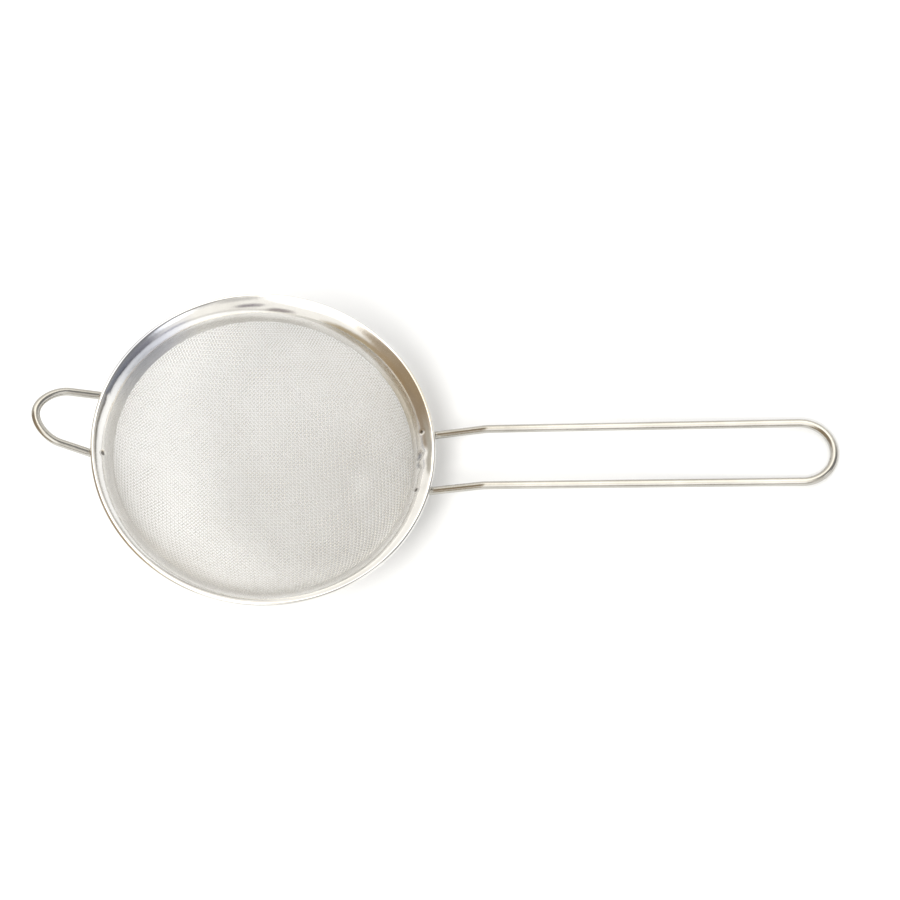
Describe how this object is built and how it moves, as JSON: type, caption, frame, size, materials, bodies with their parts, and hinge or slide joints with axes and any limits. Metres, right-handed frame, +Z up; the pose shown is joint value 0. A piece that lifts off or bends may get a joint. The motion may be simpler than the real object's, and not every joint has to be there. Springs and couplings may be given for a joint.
{
  "type": "tea strainer",
  "caption": "Small stainless tea strainer: round woven-wire bowl in a rounded steel rim, long looped wire handle and a short wire loop opposite to rest it on a cup.",
  "frame": {"origin": "on the table, at the middle of the strainer's footprint, with the strainer resting on its bowl and on the tip of its handle", "axes": "+Z up from the table, +X along the handle towards its tip, +Y across"},
  "size_m": [0.175, 0.08, 0.0542],
  "materials": {
    "rim": "polished stainless steel with fine scratches",
    "cloth": "bright plain-woven stainless wire cloth",
    "wire": "polished stainless steel wire",
    "weld": "dull heat-tinted weld metal"
  },
  "bodies": {
    "root": {"rim_ring": "rim", "mesh_bowl": "cloth", "handle_wire": "wire", "rest_loop_wire": "wire", "handle_welds": "weld", "rest_loop_welds": "weld"}
  },
  "joints": []
}
